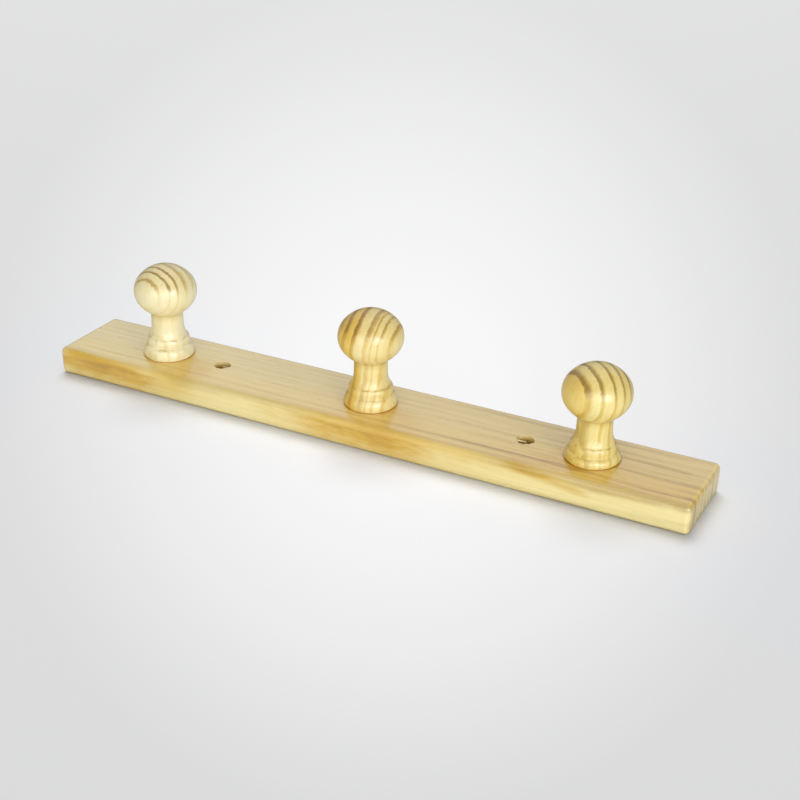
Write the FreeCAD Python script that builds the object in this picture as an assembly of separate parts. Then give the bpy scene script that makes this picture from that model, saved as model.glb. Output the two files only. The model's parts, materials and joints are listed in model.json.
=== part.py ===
import FreeCAD, Part
import math
import os

# Wall coat rack: a pine board lying on its back, with three turned pegs that stand along +Z.
# The origin is the middle of the board's back face. +X runs along the board. Sizes are in mm.

# Board
BOARD_LENGTH = 400.0
BOARD_WIDTH = 54.0
BOARD_THICKNESS = 17.0
BOARD_EDGE_RADIUS = 3.0

# Wall-screw holes, drilled from the front: a bore for the head, a cone for its seat, a bore for the shank
WALL_HOLE_END_DISTANCE = 101.5
WALL_BORE_DIAMETER = 5.0
WALL_HEAD_DIAMETER = 10.0
WALL_HEAD_DEPTH = 4.5

# Places of the pegs along the board: the outer two from its ends, the middle one from its middle
OUTER_PEG_END_DISTANCE = 62.8
MIDDLE_PEG_OFFSET = 2.8

# Turned peg: diameters that all three pegs share
FOOT_SEAT_DIAMETER = 30.4
FOOT_DIAMETER = 30.5
FOOT_TOP_DIAMETER = 26.2
BEAD_SEAT_DIAMETER = 25.2
BEAD_DIAMETER = 25.6
BEAD_TOP_DIAMETER = 24.0
NECK_DIAMETER = 19.4
NECK_TOP_DIAMETER = 19.1
BALL_DIAMETER = 37.5

# Cove at the neck's lower end: how far it flares out from the neck, and its height
COVE_DEPTH = 2.0
COVE_HEIGHT = 7.0

# How far the ball's top and bottom stand in from a true sphere's, and its side's radius in its half height
BALL_FLATTENING = 2.85
BALL_SIDE_SHARE = 0.82

# Heights at which foot and bead are widest, as shares of their own heights
FOOT_WIDEST_SHARE = 0.3
BEAD_WIDEST_SHARE = 0.4

# Heights of the turned sections: the right peg was turned shorter than the other two
FOOT_HEIGHT = 7.0
BEAD_HEIGHT = 5.2
NECK_HEIGHT = 15.4
RIGHT_FOOT_HEIGHT = 4.9
RIGHT_BEAD_HEIGHT = 5.0
RIGHT_NECK_HEIGHT = 15.0

# Countersunk wood screw that holds each peg from the back
SCREW_LENGTH = 40.0
SCREW_HEAD_DIAMETER = 8.0
SCREW_HEAD_RIM = 0.4
SCREW_HEAD_SINK = 0.5
SHANK_DIAMETER = 2.9
THREAD_DIAMETER = 4.0
THREAD_CORE_DIAMETER = 2.6
THREAD_LENGTH = 24.0
THREAD_PITCH = 1.8
THREAD_FLANK_WIDTH = 0.9
TIP_LENGTH = 4.0
TIP_DIAMETER = 0.4
RECESS_SPAN = 4.6
RECESS_WIDTH = 1.1
RECESS_DEPTH = 2.2
RECESS_FLOOR_SPAN = 1.6

# Clearances
SCREW_HEAD_CLEARANCE = 0.15
SCREW_BORE_CLEARANCE = 0.25
PILOT_SPARE_DEPTH = 1.5
CUT_OVERRUN = 1.0


def point(radius, height):
    return FreeCAD.Vector(radius, 0, height)


def straight(start, end):
    return Part.makeLine(point(*start), point(*end))


def curve(start, middle, end):
    return Part.Arc(point(*start), point(*middle), point(*end)).toShape()


def round_about(centre, radius, start_angle, end_angle):
    """Arc about a centre of radius and height, from one angle above the level to another."""
    angles = (start_angle, (start_angle + end_angle) / 2, end_angle)
    return curve(*[(centre[0] + radius * math.cos(a), centre[1] + radius * math.sin(a)) for a in angles])


def turn(edges):
    """Turn an outline of radius and height, closed along the axis, into a solid."""
    face = Part.Face(Part.Wire(edges))
    return face.revolve(FreeCAD.Vector(0, 0, 0), FreeCAD.Vector(0, 0, 1), 360)


def turn_corners(corners):
    """Turn straight-sided work from its corners, given as radius and height."""
    return turn([straight(a, b) for a, b in zip(corners, corners[1:] + corners[:1])])


def raised(shape, x, z):
    """Copy a shape to a place along the board and a height above its back."""
    moved = shape.copy()
    moved.translate(FreeCAD.Vector(x, 0, z))
    return moved


def make_ball_outline(ball_base):
    """Flattened ball as three tangent arcs, from the top of the neck to the axis, and the ball's top."""
    half_height = BALL_DIAMETER / 2 - BALL_FLATTENING
    side_radius = half_height * BALL_SIDE_SHARE
    side_centre = BALL_DIAMETER / 2 - side_radius
    spread = half_height - side_radius
    cap_shift = (side_centre**2 - spread**2) / (2 * spread)
    cap_radius = half_height + cap_shift
    tangent_angle = math.atan2(cap_shift, side_centre)
    neck_angle = math.acos(NECK_TOP_DIAMETER / 2 / cap_radius)
    middle = ball_base + cap_radius * math.sin(neck_angle) - cap_shift
    outline = [
        round_about((0, middle + cap_shift), cap_radius, -neck_angle, -tangent_angle),
        round_about((side_centre, middle), side_radius, -tangent_angle, tangent_angle),
        round_about((0, middle - cap_shift), cap_radius, tangent_angle, math.pi / 2),
    ]
    return outline, middle + half_height


def make_cove(neck_base):
    """Hollow quarter that sweeps in from the bead and runs smoothly into the neck's side."""
    radius = (COVE_DEPTH**2 + COVE_HEIGHT**2) / (2 * COVE_DEPTH)
    centre = (NECK_DIAMETER / 2 + radius, neck_base + COVE_HEIGHT)
    return round_about(centre, radius, math.pi + math.asin(COVE_HEIGHT / radius), math.pi)


def make_peg_turning(foot_height, bead_height, neck_height):
    """Foot, bead, cove, neck and ball head, standing on height zero."""
    bead_base = foot_height
    neck_base = bead_base + bead_height
    ball_base = neck_base + neck_height
    foot_seat = (FOOT_SEAT_DIAMETER / 2, 0)
    foot_side = (FOOT_DIAMETER / 2, foot_height * FOOT_WIDEST_SHARE)
    foot_top = (FOOT_TOP_DIAMETER / 2, bead_base)
    bead_seat = (BEAD_SEAT_DIAMETER / 2, bead_base)
    bead_side = (BEAD_DIAMETER / 2, bead_base + bead_height * BEAD_WIDEST_SHARE)
    bead_top = (BEAD_TOP_DIAMETER / 2, neck_base)
    cove_seat = (NECK_DIAMETER / 2 + COVE_DEPTH, neck_base)
    cove_top = (NECK_DIAMETER / 2, neck_base + COVE_HEIGHT)
    neck_top = (NECK_TOP_DIAMETER / 2, ball_base)
    ball_outline, ball_top = make_ball_outline(ball_base)
    return turn([
        straight((0, 0), foot_seat),
        curve(foot_seat, foot_side, foot_top),
        straight(foot_top, bead_seat),
        curve(bead_seat, bead_side, bead_top),
        straight(bead_top, cove_seat),
        make_cove(neck_base),
        straight(cove_top, neck_top),
        *ball_outline,
        straight((0, ball_top), (0, 0)),
    ])


def make_screw_body():
    """Head, shank, ringed thread and tip along +Z, with the head's flat at height zero and no recess."""
    head = SCREW_HEAD_DIAMETER / 2
    shank = SHANK_DIAMETER / 2
    core = THREAD_CORE_DIAMETER / 2
    crest = THREAD_DIAMETER / 2
    head_end = SCREW_HEAD_RIM + head - shank
    thread_start = SCREW_LENGTH - THREAD_LENGTH
    tip_start = SCREW_LENGTH - TIP_LENGTH
    outline = [(0, 0), (head, 0), (head, SCREW_HEAD_RIM), (shank, head_end), (shank, thread_start)]
    outline.append((core, thread_start))
    ridge = thread_start + THREAD_PITCH / 2
    while ridge + THREAD_FLANK_WIDTH < tip_start:
        outline.append((core, ridge))
        outline.append((crest, ridge + THREAD_FLANK_WIDTH / 2))
        outline.append((core, ridge + THREAD_FLANK_WIDTH))
        ridge += THREAD_PITCH
    outline += [(core, tip_start), (TIP_DIAMETER / 2, SCREW_LENGTH), (0, SCREW_LENGTH)]
    return turn_corners(outline)


def make_cross_recess():
    """Two crossed slots that taper towards their floor."""
    slots = []
    for length, width in ((RECESS_SPAN, RECESS_WIDTH), (RECESS_WIDTH, RECESS_SPAN)):
        corner = FreeCAD.Vector(-length / 2, -width / 2, -CUT_OVERRUN)
        slots.append(Part.makeBox(length, width, RECESS_DEPTH + CUT_OVERRUN, corner))
    mouth = RECESS_SPAN / 2
    floor = RECESS_FLOOR_SPAN / 2
    taper = turn_corners([
        (0, -CUT_OVERRUN), (mouth, -CUT_OVERRUN), (mouth, 0), (floor, RECESS_DEPTH), (0, RECESS_DEPTH),
    ])
    return slots[0].fuse(slots[1]).common(taper)


def make_screw_hole():
    """Clearance bore and countersink for a peg screw, cut into the board from the back."""
    bore = THREAD_DIAMETER / 2 + SCREW_BORE_CLEARANCE
    mouth = SCREW_HEAD_DIAMETER / 2 + SCREW_HEAD_CLEARANCE
    cone_start = SCREW_HEAD_SINK + SCREW_HEAD_RIM - SCREW_HEAD_CLEARANCE
    through = BOARD_THICKNESS + CUT_OVERRUN
    return turn_corners([
        (0, -CUT_OVERRUN), (mouth, -CUT_OVERRUN), (mouth, cone_start), (bore, cone_start + mouth - bore),
        (bore, through), (0, through),
    ])


def make_wall_hole():
    """Head bore, cone seat and shank bore for a wall screw, cut into the board from the front."""
    bore = WALL_BORE_DIAMETER / 2
    head = WALL_HEAD_DIAMETER / 2
    head_floor = BOARD_THICKNESS - WALL_HEAD_DEPTH
    front = BOARD_THICKNESS + CUT_OVERRUN
    return turn_corners([
        (0, -CUT_OVERRUN), (bore, -CUT_OVERRUN), (bore, head_floor - head + bore), (head, head_floor),
        (head, front), (0, front),
    ])


def make_backboard(peg_places):
    corner = FreeCAD.Vector(-BOARD_LENGTH / 2, -BOARD_WIDTH / 2, 0)
    board = Part.makeBox(BOARD_LENGTH, BOARD_WIDTH, BOARD_THICKNESS, corner)
    board = board.makeFillet(BOARD_EDGE_RADIUS, board.Edges)
    for x in peg_places:
        board = board.cut(raised(make_screw_hole(), x, 0))
    wall_hole_place = BOARD_LENGTH / 2 - WALL_HOLE_END_DISTANCE
    for x in (-wall_hole_place, wall_hole_place):
        board = board.cut(raised(make_wall_hole(), x, 0))
    return board


def make_pilot_hole():
    """Hole that the screw's core needs, a little deeper than its tip."""
    depth = SCREW_LENGTH + SCREW_HEAD_SINK + PILOT_SPARE_DEPTH - BOARD_THICKNESS
    corner = FreeCAD.Vector(0, 0, -CUT_OVERRUN)
    return Part.makeCylinder(THREAD_CORE_DIAMETER / 2, depth + CUT_OVERRUN, corner)


def save(name, shape):
    solid = shape.Solids[0]
    solid.exportStep(os.path.join("parts", name + ".step"))
    box = solid.BoundBox
    print(name, solid.isValid(), len(shape.Solids), round(solid.Volume, 2), box)


def main():
    os.makedirs("parts", exist_ok=True)
    outer_place = BOARD_LENGTH / 2 - OUTER_PEG_END_DISTANCE
    tall_turning = make_peg_turning(FOOT_HEIGHT, BEAD_HEIGHT, NECK_HEIGHT)
    short_turning = make_peg_turning(RIGHT_FOOT_HEIGHT, RIGHT_BEAD_HEIGHT, RIGHT_NECK_HEIGHT)
    pegs = (
        ("left_peg", -outer_place, tall_turning),
        ("middle_peg", MIDDLE_PEG_OFFSET, tall_turning),
        ("right_peg", outer_place, short_turning),
    )
    screw_body = make_screw_body()
    screw = screw_body.cut(make_cross_recess())
    save("backboard", make_backboard([x for _, x, _ in pegs]))
    for name, x, turning in pegs:
        bitten = raised(screw_body, 0, SCREW_HEAD_SINK - BOARD_THICKNESS)
        peg = turning.cut(make_pilot_hole()).cut(bitten)
        save(name, raised(peg, x, BOARD_THICKNESS))
        save(name + "_screw", raised(screw, x, SCREW_HEAD_SINK))


main()
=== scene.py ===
import bpy
import json
import math
from types import SimpleNamespace
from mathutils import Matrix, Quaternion, Vector


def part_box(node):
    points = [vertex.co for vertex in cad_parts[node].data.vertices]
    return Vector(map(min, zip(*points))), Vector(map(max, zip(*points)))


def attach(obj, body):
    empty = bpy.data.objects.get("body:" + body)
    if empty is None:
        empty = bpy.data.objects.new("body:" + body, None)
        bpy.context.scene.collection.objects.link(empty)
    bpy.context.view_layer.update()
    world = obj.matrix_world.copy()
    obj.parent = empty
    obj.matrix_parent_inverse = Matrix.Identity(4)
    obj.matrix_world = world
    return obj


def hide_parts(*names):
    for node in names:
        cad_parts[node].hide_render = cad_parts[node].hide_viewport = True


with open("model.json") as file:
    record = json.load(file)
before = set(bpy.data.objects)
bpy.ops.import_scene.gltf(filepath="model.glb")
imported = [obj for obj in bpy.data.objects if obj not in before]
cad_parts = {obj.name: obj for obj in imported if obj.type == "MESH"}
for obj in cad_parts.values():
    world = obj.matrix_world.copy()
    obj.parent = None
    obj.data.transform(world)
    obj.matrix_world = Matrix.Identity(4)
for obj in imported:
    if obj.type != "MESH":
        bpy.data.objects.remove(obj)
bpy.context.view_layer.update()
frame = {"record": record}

# Pine coat rack: a lacquered board on its back, three turned pegs and the screws that hold them.
# Lengths are in metres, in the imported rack's frame: +X along the board, +Z out of the wall.
MM = 0.001
MERGE_DISTANCE = 0.001 * MM
CUT_OVERRUN = 1.0 * MM

# Board
BOARD_LOW, BOARD_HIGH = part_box("backboard")
BOARD_SIZE = BOARD_HIGH - BOARD_LOW
BOARD_MIDDLE = (BOARD_LOW + BOARD_HIGH) / 2
BOARD_FACE = BOARD_HIGH.z
BOARD_EDGE_RADIUS = 3.0 * MM
BOARD_EDGE_STEPS = 6
BOARD_SMOOTH_ANGLE = 30

# Wall-screw holes
WALL_SCREWS = next(m for m in frame["record"]["mounts"] if m["name"] == "wall_screws")
WALL_HOLE_PLACE = WALL_SCREWS["dims"]["spacing_x_mm"] / 2 * MM
WALL_BORE_RADIUS = WALL_SCREWS["dims"]["hole_r_mm"] * MM
WALL_HEAD_RADIUS = 5.0 * MM
WALL_HEAD_DEPTH = 4.5 * MM
WALL_HOLE_SIDES = 120
TEAR_DEPTH = 1.1 * MM
RIM_RIPPLE = 0.25 * MM
RIM_RIPPLES = 11
# Torn fibres round each rim: angle and half width in degrees, and millimetres that each leans in
WALL_SPLINTERS = (
    (-WALL_HOLE_PLACE, ((-42, 13, 1.6), (100, 34, 1.0), (-160, 16, -1.3), (12, 14, -0.9))),
    (WALL_HOLE_PLACE, ((-60, 14, 1.2), (130, 36, 1.2), (165, 14, -1.1), (-4, 18, -1.2))),
)
# A sliver left hanging along the grain in each hole: its root in the wall and its tip, in millimetres
# along and across from the hole's middle
SLIVER_WIDTH = 1.2 * MM
SLIVER_THICKNESS = 0.8 * MM
SLIVER_TIP_SHARE = 0.3
SLIVER_HEIGHTS = (BOARD_FACE - 0.6 * MM, BOARD_FACE - 0.9 * MM)
WALL_SLIVERS = (
    (-WALL_HOLE_PLACE, (5.6, -0.6), (0.2, -0.2)), (WALL_HOLE_PLACE, (-5.6, -1.6), (0.9, -0.4)))

# Pegs: sizes that all three share
PEG_SIDES = 128
PEG_SMOOTH_ANGLE = 40
FOOT_SEAT_RADIUS = 15.2 * MM
FOOT_RADIUS = 15.25 * MM
FOOT_TOP_RADIUS = 13.1 * MM
FOOT_WIDEST_SHARE = 0.3
FOOT_STEPS = 14
FOOT_SEAT_EASING = 0.7 * MM
FOOT_EASING_SHARES = (0.9, 0.7)
BEAD_SEAT_RADIUS = 12.6 * MM
BEAD_RADIUS = 12.8 * MM
BEAD_TOP_RADIUS = 12.0 * MM
BEAD_WIDEST_SHARE = 0.4
BEAD_STEPS = 12
STEP_EASING = 0.55 * MM
STEP_EASING_STEPS = 8
NECK_RADIUS = 9.7 * MM
NECK_TOP_RADIUS = 9.55 * MM
COVE_DEPTH = 2.0 * MM
COVE_HEIGHT = 7.0 * MM
COVE_STEPS = 9
BALL_RADIUS = 18.75 * MM
BALL_FLATTENING = 2.85 * MM
BALL_SIDE_SHARE = 0.82
BALL_EASING = 1.5 * MM
BALL_EASING_STEPS = 6
BALL_ARC_STEPS = (12, 14, 18)
BALL_CROWN_RADIUS = 0.4 * MM

# Heights of each peg's foot, bead and neck
PEG_HEIGHTS = {
    "left_peg": (7.0 * MM, 5.2 * MM, 15.4 * MM),
    "middle_peg": (7.0 * MM, 5.2 * MM, 15.4 * MM),
    "right_peg": (4.9 * MM, 5.0 * MM, 15.0 * MM),
}

# Peg screws
SCREW_LOW, SCREW_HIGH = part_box("middle_peg_screw")
SCREW_HEAD_RADIUS = (SCREW_HIGH.x - SCREW_LOW.x) / 2
SCREW_HEAD_RIM = 0.4 * MM
SCREW_SIDES = 40
SCREW_SMOOTH_ANGLE = 35
SHANK_RADIUS = 1.45 * MM
THREAD_RADIUS = 2.0 * MM
THREAD_CORE_RADIUS = 1.3 * MM
THREAD_START = SCREW_HIGH.z - 24.0 * MM
THREAD_PITCH = 1.8 * MM
THREAD_RINGS_PER_TURN = 10
THREAD_FLANK_SHARE = 0.28
TIP_LENGTH = 4.0 * MM
TIP_START = SCREW_HIGH.z - TIP_LENGTH
TIP_RADIUS = 0.2 * MM
RECESS_SPAN = 4.6 * MM
RECESS_WIDTH = 1.1 * MM
RECESS_DEPTH = 2.2 * MM
RECESS_FLOOR_SHARE = 0.35
RECESS_SIDE_SHARE = 0.7
SCREW_HEAD_CLEARANCE = 0.15 * MM
SCREW_BORE_CLEARANCE = 0.25 * MM
PILOT_SPARE_DEPTH = 1.5 * MM

# Camera: the photograph's frame is square
FRAME_PIXELS = 800
FOCAL_PIXELS = 1436.0
SENSOR_WIDTH = 36.0
NEAR_CLIP, FAR_CLIP = 0.05, 50.0
VIEW_AZIMUTH = math.radians(27.334)
VIEW_ELEVATION = math.radians(26.70)
VIEW_ROLL = math.radians(0.654)
VIEW_DISTANCE = 0.8601
VIEW_TARGET = Vector((0.00085, 0.04004, 0.0))


# Modelling


def deselect_all():
    bpy.ops.object.select_all(action="DESELECT")


def enter_edit():
    bpy.ops.object.mode_set(mode="EDIT")


def leave_edit():
    bpy.ops.object.mode_set(mode="OBJECT")


def make_active(piece):
    deselect_all()
    piece.select_set(True)
    bpy.context.view_layer.objects.active = piece


def apply_modifier(piece, kind, **settings):
    make_active(piece)
    modifier = piece.modifiers.new(kind.lower(), kind)
    for key, value in settings.items():
        setattr(modifier, key, value)
    bpy.ops.object.modifier_apply(modifier=modifier.name)


def settle_place():
    """Put the new piece's place, turn and size into its mesh."""
    bpy.ops.object.transform_apply(location=True, rotation=True, scale=True)


def cut_with(piece, tool, operation="DIFFERENCE"):
    """Cut or join one piece with another, which is used up."""
    apply_modifier(piece, "BOOLEAN", operation=operation, object=tool, solver="EXACT")
    bpy.data.objects.remove(tool)


def edit_whole(piece):
    make_active(piece)
    enter_edit()
    bpy.ops.mesh.select_all(action="SELECT")


def close_up(piece):
    """Merge doubled points and turn all faces outwards."""
    edit_whole(piece)
    bpy.ops.mesh.remove_doubles(threshold=MERGE_DISTANCE)
    bpy.ops.mesh.normals_make_consistent(inside=False)
    leave_edit()


def split_flat(piece):
    """Split bent four-sided faces into flat triangles, so that a cut with them folds nowhere."""
    edit_whole(piece)
    bpy.ops.mesh.quads_convert_to_tris(quad_method="BEAUTY", ngon_method="BEAUTY")
    leave_edit()


def raise_rings(name, x, rings, sides):
    """Turned work: a disc drawn up ring by ring, from (radius, height) pairs, into a closed body."""
    deselect_all()
    radius, height = rings[0]
    bpy.ops.mesh.primitive_circle_add(
        vertices=sides, radius=radius, fill_type="NGON", location=(x, 0, height))
    piece = bpy.context.object
    piece.name = name
    enter_edit()
    bpy.ops.mesh.select_all(action="SELECT")
    for next_radius, next_height in rings[1:]:
        bpy.ops.mesh.extrude_region_move(TRANSFORM_OT_translate={"value": (0, 0, next_height - height)})
        share = next_radius / radius
        bpy.ops.transform.resize(value=(share, share, 1), center_override=(x, 0, next_height))
        radius, height = next_radius, next_height
    leave_edit()
    settle_place()
    close_up(piece)
    return piece


def middle_of(node):
    """Where a peg or a screw stands along the board."""
    low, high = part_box(node)
    return (low.x + high.x) / 2


def arc_about(centre, radius, start, end, steps):
    """Points of radius and height on an arc about a centre, from one angle to another."""
    angles = [start + (end - start) * i / steps for i in range(steps + 1)]
    return [(centre[0] + radius * math.cos(a), centre[1] + radius * math.sin(a)) for a in angles]


def arc_through(start, middle, end, steps):
    """Points on the arc that runs from start through middle to end."""
    (ax, ay), (bx, by), (cx, cy) = start, middle, end
    twice_area = 2 * (ax * (by - cy) + bx * (cy - ay) + cx * (ay - by))
    a2, b2, c2 = ax * ax + ay * ay, bx * bx + by * by, cx * cx + cy * cy
    centre = (
        (a2 * (by - cy) + b2 * (cy - ay) + c2 * (ay - by)) / twice_area,
        (a2 * (cx - bx) + b2 * (ax - cx) + c2 * (bx - ax)) / twice_area,
    )
    radius = math.dist(centre, start)
    first = math.atan2(ay - centre[1], ax - centre[0])
    last = math.atan2(cy - centre[1], cx - centre[0])
    return arc_about(centre, radius, first, last, steps)


def bend_round(start, corner, end, steps):
    """Points of a soft bend from start to end, drawn towards a corner."""
    points = []
    for i in range(steps + 1):
        t = i / steps
        points.append(tuple(
            (1 - t) ** 2 * a + 2 * t * (1 - t) * b + t * t * c for a, b, c in zip(start, corner, end)))
    return points


def step_over(lower, upper):
    """Join two stretches of a profile by a softly eased step, in place of the sharp one between them."""
    start = [p for p in lower if math.dist(p, lower[-1]) > STEP_EASING]
    end = [p for p in upper if math.dist(p, upper[0]) > STEP_EASING]
    (ax, ay), (bx, by), (cx, cy), (dx, dy) = start[-1], lower[-1], upper[0], end[0]
    step = []
    for i in range(1, STEP_EASING_STEPS):
        t = i / STEP_EASING_STEPS
        a, b, c, d = (1 - t) ** 3, 3 * t * (1 - t) ** 2, 3 * t * t * (1 - t), t**3
        step.append((a * ax + b * bx + c * cx + d * dx, a * ay + b * by + c * cy + d * dy))
    return start + step + end


def ball_rings(ball_base):
    """Flattened ball as three tangent arcs, from the top of the neck to just short of the axis."""
    half_height = BALL_RADIUS - BALL_FLATTENING
    side_radius = half_height * BALL_SIDE_SHARE
    side_centre = BALL_RADIUS - side_radius
    rise = half_height - side_radius
    cap_shift = (side_centre**2 - rise**2) / (2 * rise)
    cap_radius = half_height + cap_shift
    tangent = math.atan2(cap_shift, side_centre)
    neck = math.acos(NECK_TOP_RADIUS / cap_radius)
    middle = ball_base + cap_radius * math.sin(neck) - cap_shift
    crown = math.acos(BALL_CROWN_RADIUS / cap_radius)
    eased = neck - BALL_EASING / cap_radius
    under_steps, side_steps, top_steps = BALL_ARC_STEPS
    lower = arc_about((0, middle + cap_shift), cap_radius, -eased, -tangent, under_steps)
    below = (NECK_TOP_RADIUS, ball_base - BALL_EASING)
    corner = (NECK_TOP_RADIUS, ball_base)
    lower = bend_round(below, corner, lower[0], BALL_EASING_STEPS) + lower[1:]
    side = arc_about((side_centre, middle), side_radius, -tangent, tangent, side_steps)
    upper = arc_about((0, middle - cap_shift), cap_radius, tangent, crown, top_steps)
    return lower + side[1:] + upper[1:]


def cove_rings(neck_base):
    """The hollow in which the neck rises from the bead."""
    radius = (COVE_DEPTH**2 + COVE_HEIGHT**2) / (2 * COVE_DEPTH)
    centre = (NECK_RADIUS + radius, neck_base + COVE_HEIGHT)
    return arc_about(centre, radius, math.pi + math.asin(COVE_HEIGHT / radius), math.pi, COVE_STEPS)


def peg_levels(name):
    """Heights at which a peg's bead, neck and ball begin."""
    foot_height, bead_height, neck_height = PEG_HEIGHTS[name]
    bead_base = BOARD_FACE + foot_height
    neck_base = bead_base + bead_height
    return bead_base, neck_base, neck_base + neck_height


def peg_rings(name):
    """A peg's turned profile, from its seat on the board to its crown."""
    foot_height, bead_height, _ = PEG_HEIGHTS[name]
    bead_base, neck_base, ball_base = peg_levels(name)
    seat = (FOOT_SEAT_RADIUS - FOOT_SEAT_EASING, BOARD_FACE)
    inward, upward = (FOOT_SEAT_EASING * share for share in FOOT_EASING_SHARES)
    eased = (FOOT_SEAT_RADIUS - inward, BOARD_FACE + upward)
    foot = [seat, eased] + arc_through(
        (FOOT_SEAT_RADIUS, BOARD_FACE + FOOT_SEAT_EASING),
        (FOOT_RADIUS, BOARD_FACE + foot_height * FOOT_WIDEST_SHARE),
        (FOOT_TOP_RADIUS, bead_base), FOOT_STEPS)
    bead = arc_through(
        (BEAD_SEAT_RADIUS, bead_base),
        (BEAD_RADIUS, bead_base + bead_height * BEAD_WIDEST_SHARE),
        (BEAD_TOP_RADIUS, neck_base), BEAD_STEPS)
    return step_over(step_over(foot, bead), cove_rings(neck_base)) + ball_rings(ball_base)


def shape_peg(name):
    """Turned peg with the hole that its screw bites in."""
    x = middle_of(name)
    peg = raise_rings(name + "_turning", x, peg_rings(name), PEG_SIDES)
    hole_ends = (BOARD_FACE - CUT_OVERRUN, SCREW_HIGH.z + PILOT_SPARE_DEPTH)
    hole = raise_rings("screw_hole", x, [(THREAD_RADIUS, end) for end in hole_ends], SCREW_SIDES)
    cut_with(peg, hole)
    close_up(peg)
    return peg


def screw_rings():
    """Head, shank, plain thread core and tip of a peg screw, from the head's flat upwards."""
    base = SCREW_LOW.z
    rings = [
        (SCREW_HEAD_RADIUS, base), (SCREW_HEAD_RADIUS, base + SCREW_HEAD_RIM),
        (SHANK_RADIUS, base + SCREW_HEAD_RIM + SCREW_HEAD_RADIUS - SHANK_RADIUS),
        (SHANK_RADIUS, THREAD_START),
    ]
    steps = round((TIP_START - THREAD_START) / THREAD_PITCH * THREAD_RINGS_PER_TURN)
    for i in range(1, steps + 1):
        rings.append((THREAD_CORE_RADIUS, THREAD_START + (TIP_START - THREAD_START) * i / steps))
    tip_steps = round(TIP_LENGTH / THREAD_PITCH * THREAD_RINGS_PER_TURN)
    for i in range(1, tip_steps + 1):
        share = i / tip_steps
        radius = THREAD_CORE_RADIUS + (TIP_RADIUS - THREAD_CORE_RADIUS) * share
        rings.append((radius, TIP_START + TIP_LENGTH * share))
    return rings


def wind_thread(screw, x):
    """Draw the thread's core out into one helical ridge, fading in after the shank and out at the tip."""
    for vertex in screw.data.vertices:
        along = vertex.co.z - THREAD_START
        if along <= 0 or vertex.co.z > SCREW_HIGH.z - THREAD_PITCH / 2:
            continue
        turn = math.atan2(vertex.co.y, vertex.co.x - x) / (2 * math.pi)
        phase = (along / THREAD_PITCH - turn) % 1.0
        ridge = max(0.0, 1 - abs(phase - 0.5) / THREAD_FLANK_SHARE)
        drawn = min(1.0, along / THREAD_PITCH, (SCREW_HIGH.z - vertex.co.z) / TIP_LENGTH)
        radius = math.hypot(vertex.co.x - x, vertex.co.y)
        grown = radius + (THREAD_RADIUS - THREAD_CORE_RADIUS) * ridge * drawn
        vertex.co.x = x + (vertex.co.x - x) * grown / radius
        vertex.co.y *= grown / radius


def recess_blade(x, length, width):
    """One tapered blade of the cross recess, standing in the head."""
    deselect_all()
    base = SCREW_LOW.z - CUT_OVERRUN
    top = SCREW_LOW.z + RECESS_DEPTH
    bpy.ops.mesh.primitive_cube_add(size=1, location=(x, 0, (base + top) / 2))
    blade = bpy.context.object
    enter_edit()
    bpy.ops.transform.resize(value=(length, width, top - base))
    leave_edit()
    settle_place()
    shares = (RECESS_FLOOR_SHARE, RECESS_SIDE_SHARE)
    share_x, share_y = shares if length > width else reversed(shares)
    for vertex in blade.data.vertices:
        if vertex.co.z > SCREW_LOW.z:
            vertex.co.x = x + (vertex.co.x - x) * share_x
            vertex.co.y *= share_y
    return blade


def shape_screw(name):
    """Countersunk wood screw with a wound thread and a cross recess."""
    x = middle_of(name)
    screw = raise_rings(name + "_steel", x, screw_rings(), SCREW_SIDES)
    wind_thread(screw, x)
    cut_with(screw, recess_blade(x, RECESS_SPAN, RECESS_WIDTH))
    cut_with(screw, recess_blade(x, RECESS_WIDTH, RECESS_SPAN))
    close_up(screw)
    return screw


def peg_screw_hole(x):
    """Countersunk clearance hole for a peg screw, from the back of the board."""
    bore = THREAD_RADIUS + SCREW_BORE_CLEARANCE
    mouth = SCREW_HEAD_RADIUS + SCREW_HEAD_CLEARANCE
    cone_start = SCREW_LOW.z + SCREW_HEAD_RIM - SCREW_HEAD_CLEARANCE
    return raise_rings("peg_screw_hole", x, [
        (mouth, BOARD_LOW.z - CUT_OVERRUN), (mouth, cone_start), (bore, cone_start + mouth - bore),
        (bore, BOARD_FACE + CUT_OVERRUN)], WALL_HOLE_SIDES)


def wall_hole(x, splinters):
    """Bore, cone seat and head bore of a wall-screw hole, with fibres torn in and out along its rim."""
    head_floor = BOARD_FACE - WALL_HEAD_DEPTH
    hole = raise_rings("wall_hole", x, [
        (WALL_BORE_RADIUS, BOARD_LOW.z - CUT_OVERRUN),
        (WALL_BORE_RADIUS, head_floor - WALL_HEAD_RADIUS + WALL_BORE_RADIUS),
        (WALL_HEAD_RADIUS, head_floor), (WALL_HEAD_RADIUS, BOARD_FACE - TEAR_DEPTH),
        (WALL_HEAD_RADIUS, BOARD_FACE + TEAR_DEPTH)], WALL_HOLE_SIDES)
    for vertex in hole.data.vertices:
        if vertex.co.z < BOARD_FACE:
            continue
        angle = math.degrees(math.atan2(vertex.co.y, vertex.co.x - x))
        radius = WALL_HEAD_RADIUS + RIM_RIPPLE * math.sin(math.radians(RIM_RIPPLES * angle) + x / MM)
        for middle, half_width, lean in splinters:
            away = abs((angle - middle + 180) % 360 - 180)
            radius -= lean * MM * max(0.0, 1 - away / half_width)
        share = radius / WALL_HEAD_RADIUS
        vertex.co.x = x + (vertex.co.x - x) * share
        vertex.co.y *= share
    split_flat(hole)
    return hole


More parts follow.
